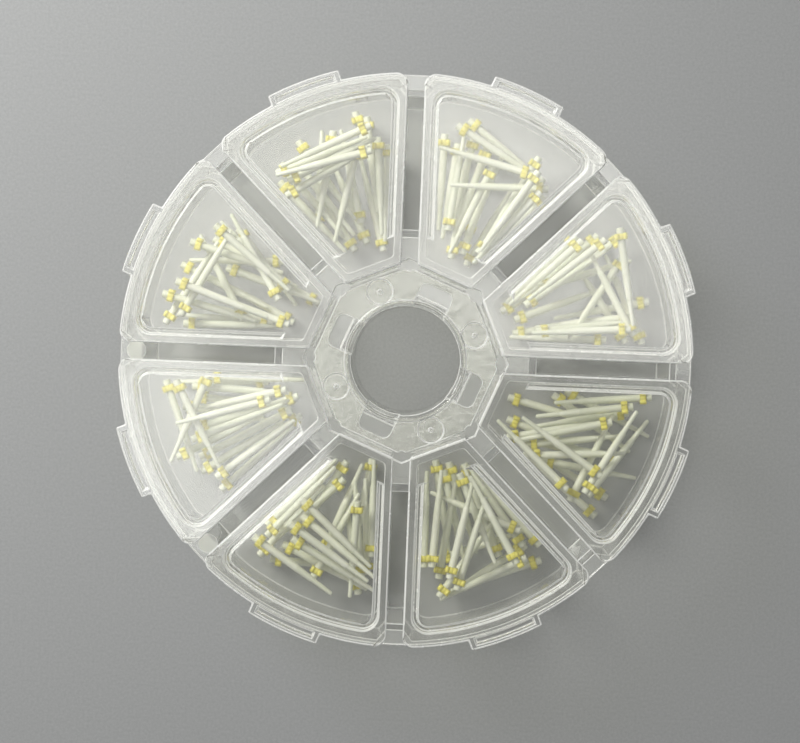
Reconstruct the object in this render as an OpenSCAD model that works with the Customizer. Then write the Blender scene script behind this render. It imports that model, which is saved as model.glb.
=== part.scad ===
// Round dispenser case for dental root-canal posts.
// A tray with eight wedge-shaped wells round an open hub, a snap-in octagonal hinge ring,
// one flip lid for each well on its own living hinge, and twenty fibre posts in each well,
// each post with a cross-shaped collar near its head. All sizes are in millimetres.
// The origin is at the centre of the underside, and +Z points up through the lids.

/* [Case] */
// Diameter over the closed lids, without their thumb tabs
case_d = 105; // [95:1:150]
// Height from the underside to the top of the lids
case_h = 24; // [20:0.5:32]
// Thickness of the wells' walls
wall_t = 1.3; // [0.9:0.1:1.8]
// Thickness of the wells' floors
floor_t = 1.4; // [1:0.1:2.5]
// Width of the gap between two lids
lid_gap = 3; // [2.4:0.1:4]
// Radius of the wells' outer corners, inside
well_round = 3; // [2:0.1:4]
// How far the tray's rim stands out past its outer wall
rim_lip = 0.7; // [0.4:0.1:1]
// Height of the tray's rim
rim_h = 2; // [1.5:0.1:3]

/* [Hub] */
// Diameter of the hole through the hub
bore_d = 20; // [14:0.5:22]
// Wall of the hub tube
hub_t = 1.3; // [1:0.1:1.6]
// Thickness of the plate that joins the hub to the wells
plate_t = 1.3; // [1:0.1:2]
// Reach of the top plate between two wells, past their inner walls
plate_reach = 6.7; // [4:0.1:9]

/* [Hinge ring] */
// Thickness of the hinge ring
ring_t = 1.3; // [1:0.1:1.8]
// Distance from the centre to each lid's hinge line
hinge_x = 16.35; // [16:0.05:18]
// Width of the living hinge's web
web_w = 1.1; // [0.8:0.1:1.4]
// Thickness of the living hinge's web
web_t = 0.3; // [0.2:0.05:0.4]
// Radius of the bead round the ring's hole
bead_r = 0.3; // [0.2:0.05:0.4]
// Width of each snap hook
hook_w = 6; // [4:0.1:7]
// Thickness of each snap hook
hook_t = 1.25; // [1:0.05:1.4]
// How far each hook's barb catches under the hub plate
barb = 0.5; // [0.3:0.05:0.6]

/* [Lids] */
// Thickness of a lid's panel
lid_t = 1.2; // [1:0.1:1.6]
// Depth of the rib that plugs the well's mouth
rib_h = 2; // [1.5:0.1:3]
// Thickness of the rib
rib_t = 0.9; // [0.7:0.1:1.2]
// Radius of a lid's outer corners
lid_round = 2.1; // [1.5:0.1:3]
// Width of a lid's thumb tab
tab_w = 13.7; // [10:0.1:16]
// How far the thumb tab stands out past the lid
tab_out = 1.8; // [1.2:0.1:2.4]

/* [Posts] */
// Posts' length
post_len = 18.5; // [16:0.1:20]
// Posts' diameter at the head
post_d = 1.4; // [1.1:0.05:1.6]
// Posts' diameter at the tip
tip_d = 0.75; // [0.5:0.05:1]
// Length of the stub of post behind its collar
stub = 1.05; // [0.8:0.05:1.4]
// Thickness of a collar along its post
collar_t = 1.2; // [0.8:0.05:1.2]
// Diameter of a collar's round middle
collar_d = 2; // [1.9:0.05:2.4]
// Span across a collar's lobes
lobe_span = 3.0; // [2.6:0.05:3.3]
// Thickness of a collar's lobes
lobe_t = 0.8; // [0.5:0.05:0.8]

/* [Clearances] */
// Between a closed lid and the tray's rim
seat_gap = 0.05; // [0.02:0.01:0.1]
// Between a lid's rib and the wall of its well
rib_gap = 0.15; // [0.1:0.01:0.3]
// Between a lid's swinging outer edge and what it passes
swing_gap = 0.3; // [0.25:0.01:0.5]
// Between a snap hook and its slot
hook_gap = 0.15; // [0.1:0.01:0.3]
// Between a snap hook's barb and the plate over it
catch_gap = 0.05; // [0.02:0.01:0.1]
// Between a collar's bore and its post, on the radius
collar_gap = 0.03; // [0.02:0.01:0.05]
// Between two posts that lie on each other
pile_gap = 0.12; // [0.1:0.01:0.25]

/* [Hidden] */
$fn = 64;

wells = 8;
sector = 360 / wells;
half_sector = sector / 2;
eps = 0.01;
big = 2 * case_d;

// Heights
wall_top = case_h - lid_t - seat_gap;
ring_top = case_h - bead_r;
ring_z = ring_top - ring_t;
plate_z = ring_z - plate_t;
web_z = ring_top - 0.2 - web_t;
rib_z = case_h - lid_t - rib_h;
rim_z = wall_top - rim_h;

// Plan sizes. A side inset is measured square to the middle line of a gap between wells.
lid_r = case_d / 2;
lid_side = lid_gap / 2;
lid_in = hinge_x + web_w / 2;
ring_in = hinge_x - web_w / 2;
rim_r = lid_r - swing_gap;
wall_r = rim_r - rim_lip;
well_r = wall_r - wall_t;
wall_side = lid_side + 0.2;
well_side = wall_side + wall_t;
wall_in = lid_in + 0.4;
well_in = wall_in + wall_t;
plate_end = wall_in + plate_reach;
channel_end = well_r - 2;
hub_r = bore_d / 2 + hub_t;

// Snap hooks of the hinge ring
hook_x = bore_d / 2 + 0.25;
hook_out = hook_x + hook_t;
hook_drop = 3.5;
barb_h = 1.8;
hooks = 4;

// Posts: places along a post are measured from the middle of its collar
post_back = stub + collar_t / 2;
post_reach = post_len - post_back;
collar_rest = (lobe_span / 2 - lobe_t / 2) * cos(45) + lobe_t / 2;
lean = asin((collar_rest - tip_d / 2) / post_reach);

// The piles: one list of fans for each well. A fan is
// [count, first head, last head, first heading, last heading]. A head's place is the percent of
// the way along the well and the percent of the way from its middle line to its side. A heading
// is in degrees, 0 outward and 90 to the left as seen from the hub. Later fans lie on top.
PILES = [
    [[3, [10, 45], [12, -45], 10, -12],
     [2, [24, 30], [20, -50], 14, -14],
     [1, [36, 44], [36, 44], -4, -4],
     [5, [83, 48], [58, 84], 196, 203],
     [4, [86, -34], [58, -80], 170, 158],
     [1, [80, 20], [80, 20], 216, 216],
     [3, [78, -76], [68, -74], 92, 102],
     [1, [85, 50], [85, 50], 258, 258]],
    [[3, [13, 13], [13, -49], 14, -6],
     [3, [27, 45], [22, -57], 15, -14],
     [1, [63, 4], [63, 4], 178, 178],
     [4, [70, 80], [78, 20], 201, 184],
     [5, [80, -44], [60, -84], 172, 158],
     [2, [87, 43], [81, 65], 255, 262],
     [1, [72, -39], [72, -39], 98, 98],
     [1, [67, -70], [67, -70], 112, 112]],
    [[3, [19, 35], [13, -52], 12, -6],
     [2, [40, 66], [28, -10], -22, -8],
     [3, [82, -56], [62, -81], 166, 158],
     [4, [82, 30], [68, 82], 196, 203],
     [2, [80, -8], [70, -38], 150, 146],
     [1, [88, -44], [88, -44], 178, 178],
     [3, [72, 66], [58, 74], 272, 280],
     [2, [78, -50], [64, -58], 94, 84]],
    [[4, [30, 60], [13, 43], 20, -4],
     [1, [9, -50], [9, -50], -6, -6],
     [3, [85, 49], [84, 10], 188, 178],
     [1, [67, 82], [67, 82], 203, 203],
     [4, [83, -22], [66, -70], 186, 152],
     [2, [29, -15], [22, -38], -36, -20],
     [2, [81, 75], [74, 71], 262, 264],
     [1, [44, 51], [44, 51], -38, -38],
     [1, [58, -14], [58, -14], 184, 184],
     [1, [38, -70], [38, -70], 24, 24]],
    [[4, [18, 52], [15, -40], 15, -8],
     [2, [30, -24], [25, -67], -6, -20],
     [4, [69, 78], [80, 26], 201, 186],
     [3, [87, 14], [69, -12], 186, 176],
     [4, [74, -40], [57, -83], 150, 158],
     [2, [81, -70], [74, -80], 88, 96],
     [1, [58, -77], [58, -77], 46, 46]],
    [[2, [10, 42], [13, -36], 13, -10],
     [1, [27, -23], [27, -23], -24, -24],
     [1, [79, 9], [79, 9], 176, 176],
     [4, [79, 65], [58, 80], 212, 203],
     [3, [82, -62], [63, -82], 162, 158],
     [5, [74, -36], [44, -53], 86, 70],
     [1, [63, 8], [63, 8], 181, 181],
     [1, [35, 38], [35, 38], 20, 20],
     [1, [85, -40], [85, -40], 108, 108],
     [1, [76, -74], [76, -74], 78, 78]],
    [[5, [18, 52], [10, -32], 6, -12],
     [4, [70, 81], [72, 26], 201, 181],
     [5, [76, -35], [58, -83], 142, 158],
     [1, [62, -46], [62, -46], 88, 88],
     [3, [84, 60], [73, 54], 269, 283],
     [1, [57, 66], [57, 66], 227, 227],
     [1, [79, -57], [79, -57], 124, 124]],
    [[2, [12, 30], [12, -38], 8, 2],
     [2, [42, 72], [31, 66], -4, -12],
     [4, [80, 82], [68, 42], 208, 216],
     [3, [36, -66], [20, -64], 26, 34],
     [1, [78, -2], [78, -2], 196, 196],
     [2, [70, -30], [60, -76], 168, 160],
     [2, [82, -52], [85, -78], 172, 163],
     [1, [46, -60], [46, -60], 14, 14],
     [3, [76, -52], [66, -74], 76, 88]],
];

// Half the width of a sector at distance x from the centre, less an inset from its sides
function half_width(x, inset) = x * tan(half_sector) - inset / cos(half_sector);

// A unit vector in the plan
function heading(a) = [cos(a), sin(a)];

// The heads of one fan, spread evenly from first to last: [x, y, heading, height on the floor]
function fan(f) = [
    for (i = [0 : f[0] - 1])
        let (part = f[0] == 1 ? 0 : i / (f[0] - 1))
        let (place = f[1] + part * (f[2] - f[1]))
        let (x = well_in + place[0] / 100 * (well_r - well_in))
        let (y = place[1] / 100 * half_width(x, well_side))
        let (stagger = (i % 2) * 1.3 * collar_t)
        let (a = f[3] + part * (f[4] - f[3]))
        [x + stagger * cos(a), y + stagger * sin(a), a, collar_rest + 0.05]
];

// All the posts of one well, at rest
function heap(well) = settle([for (f = PILES[well - 1]) each fan(f)]);

// Cross product of two plan vectors
function turn(a, b) = a[0] * b[1] - a[1] * b[0];

// Radius of a post at distance s from its collar, as the tests of the pile take it
function shaft_r(s) = s < 0.55 * post_reach ? post_d / 2 : (post_d + tip_d) / 4 + 0.1;

// How far apart two round shafts must be in height when they are d apart in the plan
function lift(d, r) = d >= r ? -big : sqrt(r * r - d * d);

// Height that the post at a must keep above the post at b where they come nearest
function need_at(sa, sb, d) =
    lift(d, shaft_r(sa) + shaft_r(sb) + pile_gap) + (sa - sb) * tan(lean);

// Distance along post a, from its collar, of the point nearest to p
function nearest(a, p) =
    let (s = (p - [a[0], a[1]]) * heading(a[2]))
    min(max(s, -post_back), post_reach);

// The same at the point of post b that is sb from b's collar
function end_need(a, b, sb) =
    let (p = [b[0], b[1]] + sb * heading(b[2]))
    let (sa = nearest(a, p))
    need_at(sa, sb, norm([a[0], a[1]] + sa * heading(a[2]) - p));

// The same at the point of post a that is sa from a's collar
function mirror_need(a, b, sa) =
    let (p = [a[0], a[1]] + sa * heading(a[2]))
    let (sb = nearest(b, p))
    need_at(sa, sb, norm([b[0], b[1]] + sb * heading(b[2]) - p));

// The same where the two posts cross, or far below if they don't
function cross_need(a, b) =
    let (across = turn(heading(a[2]), heading(b[2])))
    abs(across) < 0.02 ? -big :
    let (gap = [b[0] - a[0], b[1] - a[1]])
    let (sa = turn(gap, heading(b[2])) / across)
    let (sb = turn(gap, heading(a[2])) / across)
    sa < -post_back || sa > post_reach || sb < -post_back || sb > post_reach ? -big :
    need_at(sa, sb, 0);

// Whether a collar's plan, a small rectangle at p turned to heading ta, meets the rectangle
// from s0 to s1 along post b that is w wide on each side
function plan_meets(p, ta, b, s0, s1, w) =
    let (mid = [b[0], b[1]] + (s0 + s1) / 2 * heading(b[2]))
    let (long = (s1 - s0) / 2)
    let (gap = mid - p)
    let (c = abs(cos(ta - b[2])))
    let (s = abs(sin(ta - b[2])))
    let (ca = collar_t / 2 + pile_gap)
    let (cw = collar_rest + pile_gap)
    abs(gap * heading(b[2])) < long + ca * c + cw * s
    && abs(gap * heading(b[2] + 90)) < w + ca * s + cw * c
    && abs(gap * heading(ta)) < ca + long * c + w * s
    && abs(gap * heading(ta + 90)) < cw + long * s + w * c;

// Height that post a must keep above post b for the collar of one and the shaft of the other
function collar_need(a, b) =
    let (pa = [a[0], a[1]])
    let (pb = [b[0], b[1]])
    let (tall = collar_rest + post_d / 2 + pile_gap)
    let (over = plan_meets(pa, a[2], b, -post_back, post_reach, post_d / 2)
        ? tall - nearest(b, pa) * tan(lean) : -big)
    let (under = plan_meets(pb, b[2], a, -post_back, post_reach, post_d / 2)
        ? tall + nearest(a, pb) * tan(lean) : -big)
    let (both = plan_meets(pa, a[2], b, -collar_t / 2, collar_t / 2, collar_rest)
        ? 2 * collar_rest + pile_gap : -big)
    max(over, under, both);

// Height that post a needs above post b, collar to collar, tried at points along both
function need(a, b) =
    let (along = [for (part = [0 : 1 / 6 : 1.01]) part * post_len - post_back])
    let (ends = [for (s = along) max(end_need(a, b, s), mirror_need(a, b, s))])
    max(cross_need(a, b), collar_need(a, b), max(ends));

// Lays the posts down one after another, each time the one that can lie lowest. posts holds
// [x, y, heading, height of the collar above the floor] for those still to be laid.
function settle(posts) =
    len(posts) == 0 ? [] :
    let (lowest = min([for (p = posts) p[3]]))
    let (pick = [for (i = [0 : len(posts) - 1]) if (posts[i][3] == lowest) i][0])
    let (laid = posts[pick])
    let (rest = [
        for (i = [0 : len(posts) - 1])
            if (i != pick)
                let (p = posts[i])
                [p[0], p[1], p[2], max(p[3], lowest + need(p, laid))]
    ])
    concat([laid], settle(rest));

// Turns the children from the +X side to a well's own side
module at_well(well) {
    rotate((well - 0.5) * sector)
        children();
}

// Flat outline of a wedge in one sector, with true round corners: its sides are inset from the
// sector's sides, and it runs from the flat inner end at x0 out to radius r1
module wedge(inset, x0, r1, round_out, round_in) {
    out_x = sqrt(pow(r1 - round_out, 2) - pow(inset + round_out, 2));
    out_c = [cos(half_sector), sin(half_sector)] * out_x
        + [sin(half_sector), -cos(half_sector)] * (inset + round_out);
    in_c = [x0 + round_in, half_width(x0 + round_in, inset + round_in)];
    side = [-sin(half_sector), cos(half_sector)];
    beyond = r1 / norm(out_c) + 0.1;
    top = [
        [x0, in_c[1]], in_c + round_in * side, out_c + round_out * side, out_c,
    ];
    bottom = [for (i = [3 : -1 : 0]) [top[i][0], -top[i][1]]];
    polygon(concat(top, bottom));
    intersection() {
        circle(r1, $fn = 128);
        polygon([
            out_c, beyond * out_c,
            [beyond * out_c[0], -beyond * out_c[1]], [out_c[0], -out_c[1]],
        ]);
    }
    for (s = [-1, 1]) {
        translate([out_c[0], s * out_c[1]])
            circle(round_out);
        translate([in_c[0], s * in_c[1]])
            circle(round_in);
    }
}

// A flat bar with square ends, from x0 to x1 and from z0 to z1, w wide
module bar(x0, x1, w, z0, z1) {
    translate([x0, -w / 2, z0])
        cube([x1 - x0, w, z1 - z0]);
}

// A plain ring
module band(r_in, r_out, z0, z1) {
    translate([0, 0, z0])
        difference() {
            cylinder(r = r_out, h = z1 - z0, $fn = 128);
            translate([0, 0, -1])
                cylinder(r = r_in, h = z1 - z0 + 2, $fn = 128);
        }
}

// An octagonal plate with its flats towards the wells
module octagon(apothem, z0, z1) {
    translate([0, 0, z0])
        cylinder(r = apothem / cos(half_sector), h = z1 - z0, $fn = wells);
}

// The solid drum that the tray is hollowed from, with its rim
module drum() {
    rotate_extrude($fn = 128)
        polygon([
            [0, 0], [wall_r, 0], [wall_r, rim_z], [rim_r, rim_z], [rim_r, wall_top], [0, wall_top],
        ]);
}

// The space inside one well
module well_space() {
    translate([0, 0, floor_t])
        linear_extrude(case_h)
            wedge(well_side, well_in, well_r, well_round, 1);
}

// The open channel between two wells, and the flute outside its end wall, under the rim
module gap_space() {
    flare = 0.8 * well_round;
    flute_in = channel_end + wall_t;
    bar(plate_end, channel_end, 2 * wall_side, floor_t, case_h);
    translate([0, 0, -1])
        linear_extrude(rim_z + 1)
            polygon([
                [flute_in, -wall_side], [wall_r + 1, -wall_side - flare],
                [wall_r + 1, wall_side + flare], [flute_in, wall_side],
            ]);
}

// The hollow under the hub plate, round the hub tube and out between the wells
module hub_space() {
    translate([0, 0, -1])
        linear_extrude(plate_z + 1)
            difference() {
                union() {
                    circle(wall_in / cos(half_sector), $fn = wells);
                    for (gap = [1 : wells])
                        rotate(gap * sector)
                            translate([hub_r, -wall_side])
                                square([plate_end - wall_t - hub_r, 2 * wall_side]);
                }
                circle(hub_r, $fn = 128);
            }
}

// The slot that one snap hook passes down through, and the window that its barb springs into
module hook_slot() {
    w = hook_w + 2 * hook_gap;
    bar(bore_d / 4, hook_out + hook_gap, w, plate_z - 1, ring_z + 1);
    bar(bore_d / 4, hub_r + 1, w, plate_z - hook_drop, plate_z);
}

module base_tray() {
    color([0.86, 0.87, 0.83, 0.5])
        difference() {
            drum();
            for (well = [1 : wells]) {
                at_well(well)
                    well_space();
                rotate(well * sector)
                    gap_space();
            }
            hub_space();
            octagon(wall_in, ring_z, case_h);
            translate([0, 0, -1])
                cylinder(d = bore_d, h = case_h + 2, $fn = 128);
            for (hook = [1 : hooks])
                at_well(2 * hook)
                    hook_slot();
        }
}

// The window that each hook's barb is moulded through: square inside, with round corners outside
module barb_window() {
    w = hook_w + 0.1;
    r = 1.4;
    inner = hook_out + 0.15;
    outer = ring_in - 1.3;
    bar(inner, outer - r, w, ring_z - 1, case_h);
    bar(inner, outer, w - 2 * r, ring_z - 1, case_h);
    for (s = [-1, 1])
        translate([outer - r, s * (w / 2 - r), ring_z - 1])
            cylinder(r = r, h = ring_t + 2);
}

// One snap hook, with a barb that catches under the hub plate
module hook() {
    bar(hook_x, hook_out, hook_w, plate_z - hook_drop + 0.6, ring_top);
    translate([0, hook_w / 2, plate_z - catch_gap])
        rotate([90, 0, 0])
            linear_extrude(hook_w)
                polygon([
                    [hook_out - 0.1, 0], [hook_out + barb, 0],
                    [hook_out + barb, -0.4], [hook_out - 0.1, -barb_h],
                ]);
}

// A shallow round dimple with the nub that the moulding gate leaves
module gate_dimple() {
    translate([(bore_d / 2 + hub_t + ring_in) / 2 - 0.1, 0, ring_top - 0.4])
        difference() {
            cylinder(r = 2.35, h = 1);
            translate([0, 0, -eps])
                cylinder(r = 0.4, h = 0.25);
        }
}

module hinge_ring() {
    hole_r = bore_d / 2 + 0.5;
    color([0.88, 0.89, 0.86, 0.6]) {
        difference() {
            octagon(ring_in, ring_z, ring_top);
            translate([0, 0, ring_z - 1])
                cylinder(r = hole_r, h = ring_t + 2, $fn = 128);
            for (i = [1 : hooks]) {
                at_well(2 * i)
                    barb_window();
                at_well(2 * i - 1)
                    gate_dimple();
            }
            for (corner = [1 : wells])
                rotate(corner * sector)
                    translate([ring_in / cos(half_sector) + 0.4, 0, ring_z - 1])
                        cylinder(r = 1, h = ring_t + 2);
        }
        for (i = [1 : hooks])
            at_well(2 * i)
                hook();
        translate([0, 0, ring_top])
            rotate_extrude($fn = 128)
                translate([hole_r + bead_r, 0])
                    circle(bead_r, $fn = 24);
    }
}

// One lid: its panel, the rib that plugs the well's mouth and the thumb tab with its catch
module lid(well) {
    tab_r = lid_r + tab_out;
    catch_r = rim_r + 0.1;
    color([0.9, 0.91, 0.88, 0.45])
        at_well(well) {
            translate([0, 0, case_h - lid_t])
                linear_extrude(lid_t)
                    wedge(lid_side, lid_in, lid_r, lid_round, 0.5);
            translate([0, 0, rib_z])
                linear_extrude(rib_h + eps)
                    difference() {
                        wedge(well_side + rib_gap, plate_end - 1.7, well_r - swing_gap,
                            well_round - rib_gap, 0.4);
                        wedge(well_side + rib_gap + rib_t, well_in, well_r - swing_gap - rib_t,
                            well_round - rib_gap - rib_t, 0.4);
                    }
            intersection() {
                bar(lid_r - 3, tab_r + 1, tab_w, 0, case_h);
                band(lid_r - 0.3, tab_r, case_h - lid_t, case_h);
            }
            intersection() {
                bar(lid_r - 3, tab_r + 1, tab_w - 2.4, 0, case_h);
                union() {
                    band(lid_r + 0.05, lid_r + 1.1, rim_z - 1.4, case_h - lid_t + eps);
                    band(catch_r, lid_r + 0.5, rim_z - 1.4, rim_z - 0.4);
                }
            }
        }
}

// The thin web that a lid folds on
module living_hinge(well) {
    color([0.85, 0.86, 0.83, 0.6])
        at_well(well)
            bar(ring_in, lid_in, 2 * half_width(lid_in, lid_side) - 1, web_z, web_z + web_t);
}

// Puts the children in the place of each post of a well: along +Z from the collar to the tip
module in_heap(well) {
    at_well(well)
        for (p = heap(well))
            translate([p[0], p[1], floor_t + p[3]])
                rotate([0, 90 + lean, p[2]])
                    children();
}

// The fibre posts of one well, each tapered in two steps to a rounded tip
module posts(well) {
    head_r = post_d / 2;
    tip_r = tip_d / 2;
    step = (head_r + tip_r) / 2;
    color([0.86, 0.87, 0.76])
        in_heap(well)
            rotate_extrude($fn = 24)
                polygon([
                    [0, -post_back], [head_r - 0.08, -post_back], [head_r, 0.08 - post_back],
                    [head_r, 0.5 * post_reach], [step + 0.05, 0.7 * post_reach],
                    [step - 0.05, 0.72 * post_reach], [tip_r, post_reach - 0.25],
                    [tip_r - 0.12, post_reach - 0.05], [0, post_reach],
                ]);
}

// The moulded collars of one well's posts: a ring with four round-ended lobes
module collars(well) {
    lobe_x = (lobe_span - lobe_t) / 2;
    color([0.89, 0.8, 0.3])
        in_heap(well)
            rotate(45)
                difference() {
                    union() {
                        cylinder(d = collar_d, h = collar_t, center = true, $fn = 32);
                        for (quarter = [0 : 3])
                            rotate(90 * quarter) {
                                translate([lobe_x / 2, 0, 0])
                                    cube([lobe_x, lobe_t, collar_t], center = true);
                                translate([lobe_x, 0, 0])
                                    cylinder(d = lobe_t, h = collar_t, center = true, $fn = 16);
                            }
                    }
                    cylinder(r = post_d / 2 + collar_gap, h = 2 * collar_t, center = true, $fn = 32);
                }
}

base_tray();
hinge_ring();
for (well = [1 : wells]) {
    lid(well);
    living_hinge(well);
    posts(well);
    collars(well);
}
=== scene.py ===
import math

import bmesh
import bpy
from mathutils import Matrix, Vector


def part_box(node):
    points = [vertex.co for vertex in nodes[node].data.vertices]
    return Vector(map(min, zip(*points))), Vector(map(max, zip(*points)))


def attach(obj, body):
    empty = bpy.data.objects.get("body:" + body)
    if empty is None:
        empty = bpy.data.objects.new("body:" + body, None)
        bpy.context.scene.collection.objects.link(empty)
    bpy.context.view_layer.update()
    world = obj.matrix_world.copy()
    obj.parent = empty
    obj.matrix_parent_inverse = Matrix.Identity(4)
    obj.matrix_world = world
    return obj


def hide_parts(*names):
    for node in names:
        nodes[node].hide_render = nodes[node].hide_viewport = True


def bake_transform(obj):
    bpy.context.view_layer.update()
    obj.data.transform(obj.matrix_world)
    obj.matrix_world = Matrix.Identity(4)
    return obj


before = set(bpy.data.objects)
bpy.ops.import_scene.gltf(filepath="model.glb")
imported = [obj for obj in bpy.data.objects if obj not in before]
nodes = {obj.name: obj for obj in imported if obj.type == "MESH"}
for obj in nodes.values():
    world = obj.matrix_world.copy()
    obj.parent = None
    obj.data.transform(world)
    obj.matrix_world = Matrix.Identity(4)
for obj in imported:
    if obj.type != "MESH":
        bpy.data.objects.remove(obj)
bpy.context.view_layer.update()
mm = 0.001
wellCount = 8
print("frame loaded:", len(nodes), "nodes")

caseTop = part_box("lid_1")[1][2]
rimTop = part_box("base_tray")[1][2]
print("case top", round(caseTop / mm, 2), "mm, tray rim", round(rimTop / mm, 2), "mm")


def wellAngle(well):
    return math.radians((well - 0.5) * 360 / wellCount)


def outward(angle, distance, height):
    return Vector((math.cos(angle) * distance, math.sin(angle) * distance, height))


cameraSet = {
    "height": 380 * mm,    # above the lids
    "aside": (4.9 * mm, 6.0 * mm),    # where it stands, to the view's right and up
    "aimAside": (-0.97 * mm, -1.91 * mm),    # where it looks, in the same directions
    "viewWidth": 145.8 * mm,    # what the view's width holds at the lids
    "roll": math.radians(2.3),
    "sensor": 36,
    "clip": (0.01, 10),
}


def makeCamera(s):
    turn = Matrix.Rotation(s["roll"], 3, "Z")
    place = turn @ Vector((*s["aside"], 0)) + Vector((0, 0, caseTop + s["height"]))
    aim = turn @ Vector((*s["aimAside"], 0)) + Vector((0, 0, caseTop))
    data = bpy.data.cameras.new("camera")
    data.sensor_width = s["sensor"]
    data.lens = data.sensor_width * (place - aim).length / s["viewWidth"]
    data.clip_start, data.clip_end = s["clip"]
    camera = bpy.data.objects.new("camera", data)
    bpy.context.scene.collection.objects.link(camera)
    back = (place - aim).normalized()
    up = turn @ Vector((0, 1, 0))
    right = up.cross(back).normalized()
    up = back.cross(right)
    stance = Matrix((right, up, back)).transposed().to_4x4()
    camera.matrix_world = Matrix.Translation(place) @ stance
    bpy.context.scene.camera = camera


makeCamera(cameraSet)
print("camera placed")

# places and sizes in mm; the veils and the glare are what the lids mirror
lightSet = {
    "key": {"place": (-255, 230, 280), "size": (180, 180), "aimed": True, "watts": 1.62,
            "colour": (1.0, 0.99, 0.965)},
    "veilLeft": {"place": (-61, 61, 470), "size": (116, 134), "shape": "RECTANGLE", "watts": 0.12,
                 "colour": (1.0, 0.99, 0.96)},
    "veilRight": {"place": (55, 61, 470), "size": (116, 134), "shape": "RECTANGLE", "watts": 0.165,
                  "colour": (1.0, 0.99, 0.96)},
    "glare": {"place": (-84, -42, 470), "size": (96, 84), "watts": 0.075,
              "colour": (1.0, 1.0, 0.98)},
}
# a room that is brighter round the sides than above
worldSet = {"colour": (0.86, 0.87, 0.88), "above": 0.14, "side": 0.62, "fadeEnd": 0.6}


def add(tree, kind, **values):
    node = tree.nodes.new(kind)
    for key, value in values.items():
        if hasattr(node, key):
            setattr(node, key, value)
        else:
            node.inputs[key].default_value = value
    return node


def makeLights(lights, world):
    for name, s in lights.items():
        data = bpy.data.lights.new(name, "AREA")
        data.shape = s.get("shape", "ELLIPSE")
        data.size, data.size_y = (side * mm for side in s["size"])
        data.energy = s["watts"]
        data.color = s["colour"]
        lamp = bpy.data.objects.new(name, data)
        lamp.location = Vector(s["place"]) * mm
        if s.get("aimed"):    # the others face straight down
            aim = Vector((0, 0, caseTop)) - lamp.location
            lamp.rotation_euler = aim.to_track_quat("-Z", "Y").to_euler()
        bpy.context.scene.collection.objects.link(lamp)
    sky = bpy.data.worlds.new("sky")
    sky.use_nodes = True
    ground = sky.node_tree.nodes["Background"]
    ground.inputs["Color"].default_value = (*world["colour"], 1)
    where = add(sky.node_tree, "ShaderNodeTexCoord")
    split = add(sky.node_tree, "ShaderNodeSeparateXYZ")
    fade = add(sky.node_tree, "ShaderNodeMapRange")
    fade.inputs["From Max"].default_value = world["fadeEnd"]
    fade.inputs["To Min"].default_value = world["side"]
    fade.inputs["To Max"].default_value = world["above"]
    sky.node_tree.links.new(where.outputs["Generated"], split.inputs[0])
    sky.node_tree.links.new(split.outputs["Z"], fade.inputs["Value"])
    sky.node_tree.links.new(fade.outputs["Result"], ground.inputs["Strength"])
    bpy.context.scene.world = sky
    bpy.context.scene.view_settings.view_transform = "Standard"


makeLights(lightSet, worldSet)
print("lights placed:", len(lightSet))


def newGroup(name, inputs, outputs):
    group = bpy.data.node_groups.new(name, "ShaderNodeTree")
    for label, kind, value in inputs:
        socket = group.interface.new_socket(name=label, in_out="INPUT", socket_type=kind)
        socket.default_value = value
    for label, kind in outputs:
        group.interface.new_socket(name=label, in_out="OUTPUT", socket_type=kind)
    return group, group.nodes.new("NodeGroupInput"), group.nodes.new("NodeGroupOutput")


def mixColour(tree, factor, first, second, how="MIX"):
    mix = tree.nodes.new("ShaderNodeMix")
    mix.data_type = "RGBA"
    mix.blend_type = how
    for socket, value in ((mix.inputs[0], factor), (mix.inputs[6], first), (mix.inputs[7], second)):
        if isinstance(value, bpy.types.NodeSocket):
            tree.links.new(value, socket)
        else:
            socket.default_value = value
    return mix.outputs[2]


mouldedSet = {
    "blotch": 110.0, "fine": 900.0,    # how many waves to the metre
    "scratch": (2600.0, 140.0, 900.0),
    "scratchTurn": 0.7,
    "scratchShows": (0.62, 0.72),    # the part of the noise that makes a line
    "fineShare": 0.25,
}


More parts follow.
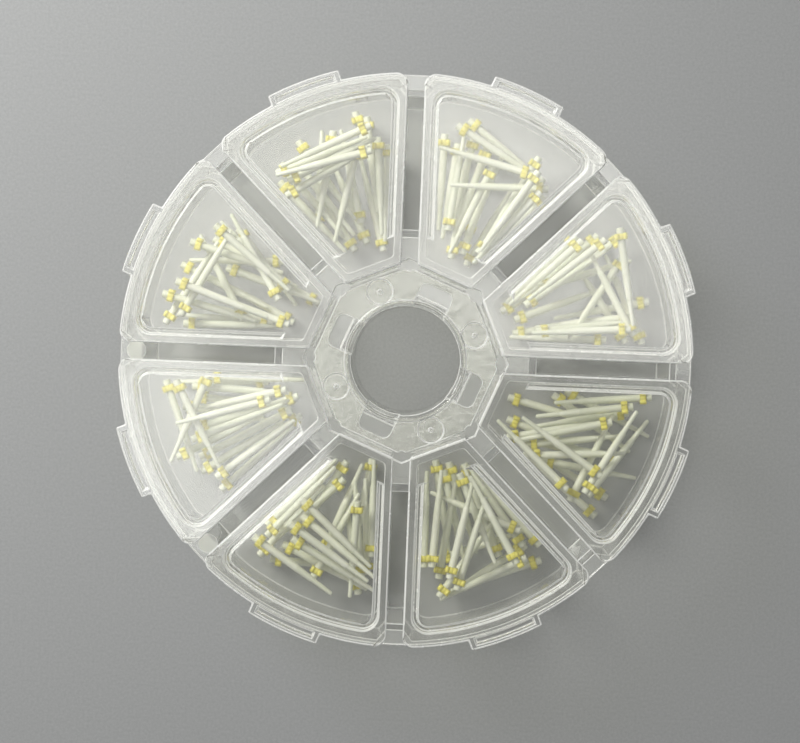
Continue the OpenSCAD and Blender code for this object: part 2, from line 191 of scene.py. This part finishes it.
def moulded(s):
    # haze blotches, fine scratches and sink marks of a moulded plastic face
    group, given, out = newGroup(
        "mouldedSurface",
        [("Roughness", "NodeSocketFloat", 0.2), ("Blotch", "NodeSocketFloat", 0.1),
         ("Scratch", "NodeSocketFloat", 0.1), ("Light", "NodeSocketColor", (0.9, 0.9, 0.9, 1)),
         ("Dull", "NodeSocketColor", (0.8, 0.8, 0.8, 1))],
        [("Colour", "NodeSocketColor"), ("Roughness", "NodeSocketFloat"),
         ("Height", "NodeSocketFloat")],
    )
    link = group.links.new
    where = add(group, "ShaderNodeTexCoord")
    blotch = add(group, "ShaderNodeTexNoise", Scale=s["blotch"], Detail=5.0, Roughness=0.6)
    fine = add(group, "ShaderNodeTexNoise", Scale=s["fine"], Detail=3.0)
    stretch = add(group, "ShaderNodeMapping", Scale=s["scratch"],
                  Rotation=(0.0, 0.0, s["scratchTurn"]))
    scratch = add(group, "ShaderNodeTexNoise", Scale=1.0, Detail=4.0, Roughness=0.7)
    link(where.outputs["Object"], blotch.inputs["Vector"])
    link(where.outputs["Object"], fine.inputs["Vector"])
    link(where.outputs["Object"], stretch.inputs["Vector"])
    link(stretch.outputs["Vector"], scratch.inputs["Vector"])
    thin = add(group, "ShaderNodeMapRange")
    thin.inputs["From Min"].default_value, thin.inputs["From Max"].default_value = s["scratchShows"]
    link(scratch.outputs["Fac"], thin.inputs["Value"])
    spread = add(group, "ShaderNodeMath", operation="MULTIPLY_ADD")
    link(blotch.outputs["Fac"], spread.inputs[0])
    link(given.outputs["Blotch"], spread.inputs[1])
    link(given.outputs["Roughness"], spread.inputs[2])
    lines = add(group, "ShaderNodeMath", operation="MULTIPLY_ADD")
    link(thin.outputs["Result"], lines.inputs[0])
    link(given.outputs["Scratch"], lines.inputs[1])
    link(spread.outputs[0], lines.inputs[2])
    link(lines.outputs[0], out.inputs["Roughness"])
    colour = mixColour(group, blotch.outputs["Fac"], given.outputs["Light"], given.outputs["Dull"])
    link(colour, out.inputs["Colour"])
    height = add(group, "ShaderNodeMath", operation="MULTIPLY_ADD")
    height.inputs[1].default_value = s["fineShare"]
    link(fine.outputs["Fac"], height.inputs[0])
    link(blotch.outputs["Fac"], height.inputs[2])
    link(height.outputs[0], out.inputs["Height"])
    return group


mouldedSurface = moulded(mouldedSet)


def newMaterial(name):
    material = bpy.data.materials.new(name)
    material.use_nodes = True
    tree = material.node_tree
    return material, tree, tree.nodes["Principled BSDF"], tree.nodes["Material Output"]


def mouldedFace(tree, skin, s):
    link = tree.links.new
    face = add(tree, "ShaderNodeGroup", node_tree=mouldedSurface)
    for label in ("Roughness", "Blotch", "Scratch"):
        face.inputs[label].default_value = s[label.lower()]
    for label in ("Light", "Dull"):
        face.inputs[label].default_value = (*s[label.lower()], 1)
    bump = add(tree, "ShaderNodeBump", Strength=s["bump"], Distance=s["depth"])
    link(face.outputs["Colour"], skin.inputs["Base Color"])
    link(face.outputs["Roughness"], skin.inputs["Roughness"])
    link(face.outputs["Height"], bump.inputs["Height"])
    link(bump.outputs["Normal"], skin.inputs["Normal"])


plasticIor = 1.49


def clearPlastic(name, s):
    # moulded polypropylene: clear with a milky haze, and lamps shine through it
    material, tree, skin, out = newMaterial(name)
    link = tree.links.new
    mouldedFace(tree, skin, s)
    skin.inputs["IOR"].default_value = plasticIor
    skin.inputs["Transmission Weight"].default_value = s["clear"]
    # an emission in the light tone, as strong as the painted glow, paints light into the faces
    skin.inputs["Emission Color"].default_value = (*s["light"], 1)
    skin.inputs["Emission Strength"].default_value = s.get("paintedGlow", 0.0)
    ray = add(tree, "ShaderNodeLightPath")
    soft = add(tree, "ShaderNodeMath", operation="MAXIMUM")    # lamp and bounced light go through
    through = add(tree, "ShaderNodeBsdfTransparent", Color=(*s["pass"], 1))
    mix = add(tree, "ShaderNodeMixShader")
    link(ray.outputs["Is Shadow Ray"], soft.inputs[0])
    link(ray.outputs["Is Diffuse Ray"], soft.inputs[1])
    link(soft.outputs[0], mix.inputs[0])
    link(skin.outputs[0], mix.inputs[1])
    link(through.outputs[0], mix.inputs[2])
    link(mix.outputs[0], out.inputs["Surface"])
    return material


# clear is the share that goes through, depth how high the bump is, pass what's left of lamp light
trayFinish = {"roughness": 0.05, "blotch": 0.06, "scratch": 0.10, "clear": 0.88,
              "bump": 0.3, "depth": 0.1 * mm,
              "light": (0.99, 0.995, 0.975), "dull": (0.96, 0.97, 0.935),
              "pass": (0.982, 0.982, 0.972)}
ringFinish = {"roughness": 0.05, "blotch": 0.14, "scratch": 0.12, "clear": 0.965,
              "bump": 0.8, "depth": 0.35 * mm,
              "light": (0.98, 0.98, 0.96), "dull": (0.94, 0.95, 0.92), "pass": (0.96, 0.96, 0.95)}
lidFinish = {"roughness": 0.045, "blotch": 0.04, "scratch": 0.10, "clear": 0.958,
             "bump": 0.1, "depth": 0.08 * mm,
             "light": (0.99, 0.99, 0.97), "dull": (0.965, 0.97, 0.95), "pass": (0.98, 0.98, 0.97)}
# the edges' glow is painted light: an emission that stands in for the bright highlight along
# rounded edges
edgeFinishPaintedGlow = {"roughness": 0.22, "blotch": 0.10, "scratch": 0.10, "clear": 0.40,
              "bump": 0.2, "depth": 0.08 * mm, "paintedGlow": 0.06,
              "light": (0.98, 0.985, 0.965), "dull": (0.93, 0.94, 0.91), "pass": (0.94, 0.94, 0.93)}
frostFinish = {"roughness": 0.3, "blotch": 0.2, "scratch": 0.1, "clear": 0.93,
               "bump": 0.5, "depth": 0.1 * mm,
               "light": (0.97, 0.975, 0.955), "dull": (0.86, 0.87, 0.84),
               "pass": (0.94, 0.94, 0.93)}
trayPlastic = clearPlastic("trayPlastic", trayFinish)
ringPlastic = clearPlastic("ringPlastic", ringFinish)
lidPlastic = clearPlastic("lidPlastic", lidFinish)
edgePlasticPaintedGlow = clearPlastic("edgePlasticPaintedGlow", edgeFinishPaintedGlow)    # rounded edges: milky plastic with a painted glow, a painted highlight that stands in for light caught in them
frostPlastic = clearPlastic("frostPlastic", frostFinish)    # the moulding marks' discs


postFinish = {
    "light": (0.92, 0.93, 0.80), "dull": (0.80, 0.82, 0.67),    # the palest post and the deepest
    "grain": 2400.0,
    "bright": (1.06, 1.06, 1.06), "dim": (0.86, 0.87, 0.84),    # the grain's two tints
    "rough": (0.4, 0.65),
    "bump": 0.35, "depth": 0.04 * mm,
    "glowing": 0.25, "glowReach": 0.4 * mm, "glowColour": (1.0, 1.0, 0.8),
}


def scatter(skin, s):
    # light that soaks in and comes out near by
    skin.inputs["Subsurface Weight"].default_value = s["glowing"]
    skin.inputs["Subsurface Radius"].default_value = s["glowColour"]
    skin.inputs["Subsurface Scale"].default_value = s["glowReach"]


def fibreComposite(s):
    # pale glass fibre in resin, each post a little different
    material, tree, skin, out = newMaterial("postFibre")
    link = tree.links.new
    which = add(tree, "ShaderNodeNewGeometry")
    where = add(tree, "ShaderNodeTexCoord")
    grain = add(tree, "ShaderNodeTexNoise", Scale=s["grain"], Detail=4.0, Roughness=0.65)
    link(where.outputs["Object"], grain.inputs["Vector"])
    tone = mixColour(tree, which.outputs["Random Per Island"], (*s["light"], 1), (*s["dull"], 1))
    speck = mixColour(tree, grain.outputs["Fac"], (*s["bright"], 1), (*s["dim"], 1))
    link(mixColour(tree, 1.0, tone, speck, "MULTIPLY"), skin.inputs["Base Color"])
    rough = add(tree, "ShaderNodeMapRange")
    rough.inputs["To Min"].default_value, rough.inputs["To Max"].default_value = s["rough"]
    link(grain.outputs["Fac"], rough.inputs["Value"])
    link(rough.outputs["Result"], skin.inputs["Roughness"])
    bump = add(tree, "ShaderNodeBump", Strength=s["bump"], Distance=s["depth"])
    link(grain.outputs["Fac"], bump.inputs["Height"])
    link(bump.outputs["Normal"], skin.inputs["Normal"])
    scatter(skin, s)
    return material


postFibre = fibreComposite(postFinish)

collarFinish = {
    "light": (0.89, 0.82, 0.18), "dull": (0.78, 0.70, 0.11),
    "roughness": 0.4, "blotch": 0.1, "scratch": 0.1,
    "bump": 0.3, "depth": 0.05 * mm,
    "glowing": 0.3, "glowReach": 0.5 * mm, "glowColour": (1.0, 0.9, 0.3),
}


def collarPlastic(s):
    # opaque yellow plastic that lets a little light into its edges
    material, tree, skin, out = newMaterial("collarYellow")
    mouldedFace(tree, skin, s)
    scatter(skin, s)
    return material


collarYellow = collarPlastic(collarFinish)

bevelSet = {
    "widths": {"tray": 0.16 * mm, "ring": 0.14 * mm, "lid": 0.26 * mm, "collar": 0.18 * mm},
    "steps": 2,
    "sharper": math.radians(40),    # only edges sharper than this are rounded
    "weld": 0.002 * mm,
}


def dress(node, material, bevelled=None, edge=None):
    piece = nodes[node]
    for slot in piece.material_slots:
        slot.material = material
    if bevelled:
        weld = piece.modifiers.new("weld", "WELD")
        weld.merge_threshold = bevelSet["weld"]
        bevel = piece.modifiers.new("softEdge", "BEVEL")
        bevel.width = bevelSet["widths"][bevelled]
        bevel.segments = bevelSet["steps"]
        bevel.limit_method = "ANGLE"
        bevel.angle_limit = bevelSet["sharper"]
        bevel.harden_normals = True
        bevel.use_clamp_overlap = False    # its clamp would go by the bead's tiny edges
        # the rounds take the edge material, whose glow is a painted highlight
        if edge:
            piece.data.materials.append(edge)
            bevel.material = len(piece.data.materials) - 1


dress("base_tray", trayPlastic, "tray", edgePlasticPaintedGlow)
dress("hinge_ring", ringPlastic, "ring", edgePlasticPaintedGlow)
for well in range(1, wellCount + 1):
    dress(f"lid_{well}", lidPlastic, "lid", edgePlasticPaintedGlow)
    dress(f"posts_{well}", postFibre)
    dress(f"collars_{well}", collarYellow, "collar")
print("finishes given")

hingeStrip = {
    "steps": 8,
    "thin": 0.62,    # the share of its thickness that is left along the fold
    "pull": 0.15 * mm,    # how far its ends draw in there
}


def makeStrip(well, s):
    # a web between the ring and its lid, thinner along the fold where the real one bends
    low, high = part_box(f"living_hinge_{well}")
    angle = wellAngle(well)
    along = Vector((-math.sin(angle), math.cos(angle), 0))
    out = outward(angle, 1, 0)
    corners = [v.co for v in nodes[f"living_hinge_{well}"].data.vertices]
    inner, outer = (pick(c.dot(out) for c in corners) for pick in (min, max))
    half = max(c.dot(along) for c in corners)
    middle, thick = (low.z + high.z) / 2, (high.z - low.z) / 2
    build = bmesh.new()
    rings = []
    for i in range(s["steps"] + 1):
        share = i / s["steps"]
        r = inner + (outer - inner) * share
        t = thick * (1 - (1 - s["thin"]) * math.sin(math.pi * share))
        w = half - s["pull"] * math.sin(math.pi * share)
        rings.append([
            build.verts.new(out * r + along * side * w + Vector((0, 0, middle + up * t)))
            for side, up in ((-1, -1), (1, -1), (1, 1), (-1, 1))
        ])
    for a, b in zip(rings, rings[1:]):
        for k in range(4):
            build.faces.new((a[k], b[k], b[(k + 1) % 4], a[(k + 1) % 4]))
    build.faces.new(rings[0])
    build.faces.new(rings[-1][::-1])
    bmesh.ops.recalc_face_normals(build, faces=build.faces)
    mesh = bpy.data.meshes.new(f"hingeStrip{well}")
    build.to_mesh(mesh)
    build.free()
    mesh.materials.append(ringPlastic)
    strip = bpy.data.objects.new(f"hingeStrip{well}", mesh)
    bpy.context.scene.collection.objects.link(strip)
    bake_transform(strip)
    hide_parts(f"living_hinge_{well}")


for well in range(1, wellCount + 1):
    makeStrip(well, hingeStrip)
print("living hinges made")

pinMarks = {
    "gaps": (180, 225),    # degrees round from +X
    "distance": 49.3 * mm, "radius": 1.75 * mm,
    "rise": 0.03 * mm, "rim": 0.045 * mm,
    "steps": 48,
}


def makePinMark(name, angle, s):
    # the round mark of an ejector pin, with a raised line round it
    centre = outward(math.radians(angle), s["distance"], rimTop)
    radius = s["radius"]
    build = bmesh.new()
    bmesh.ops.create_cone(build, cap_ends=True, segments=s["steps"], radius1=radius,
                          radius2=radius - s["rise"], depth=s["rise"])
    mesh = bpy.data.meshes.new(name)
    build.to_mesh(mesh)
    build.free()
    mesh.materials.append(frostPlastic)
    disc = bpy.data.objects.new(name, mesh)
    disc.location = centre + Vector((0, 0, s["rise"] / 2))
    bpy.context.scene.collection.objects.link(disc)
    line = bpy.data.curves.new(f"{name}Rim", "CURVE")
    line.dimensions = "3D"
    line.bevel_depth = s["rim"]
    line.bevel_resolution = 2
    ring = line.splines.new("POLY")
    ring.use_cyclic_u = True
    ring.points.add(s["steps"] - 1)
    for i, point in enumerate(ring.points):
        point.co = (*(centre + outward(2 * math.pi * i / s["steps"], radius, 0)), 1)
    # the raised line takes the edge material, whose glow is a painted highlight
    line.materials.append(edgePlasticPaintedGlow)
    rim = bpy.data.objects.new(f"{name}Rim", line)
    bpy.context.scene.collection.objects.link(rim)
    for piece in (disc, rim):
        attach(piece, "root")


for gap in pinMarks["gaps"]:
    makePinMark(f"pinMark{gap}_0", gap, pinMarks)
print("moulding marks made")

floorSet = {"size": 3.0, "light": (0.475, 0.483, 0.485), "dull": (0.310, 0.318, 0.321),
            "grain": 1900.0, "roughness": 0.7}


def makeFloor(s):
    mesh = bpy.data.meshes.new("floor")
    half = s["size"] / 2
    corners = [(-half, -half, 0), (half, -half, 0), (half, half, 0), (-half, half, 0)]
    mesh.from_pydata(corners, [], [(0, 1, 2, 3)])
    floor = bpy.data.objects.new("floor", mesh)
    bpy.context.scene.collection.objects.link(floor)
    material, tree, skin, out = newMaterial("floorPaper")
    where = add(tree, "ShaderNodeTexCoord")
    grain = add(tree, "ShaderNodeTexNoise", Scale=s["grain"], Detail=3.0, Roughness=0.7)
    tree.links.new(where.outputs["Object"], grain.inputs["Vector"])
    tree.links.new(mixColour(tree, grain.outputs["Fac"], (*s["light"], 1), (*s["dull"], 1)),
                   skin.inputs["Base Color"])
    skin.inputs["Roughness"].default_value = s["roughness"]
    mesh.materials.append(material)


makeFloor(floorSet)
print("floor made")

bpy.context.view_layer.update()
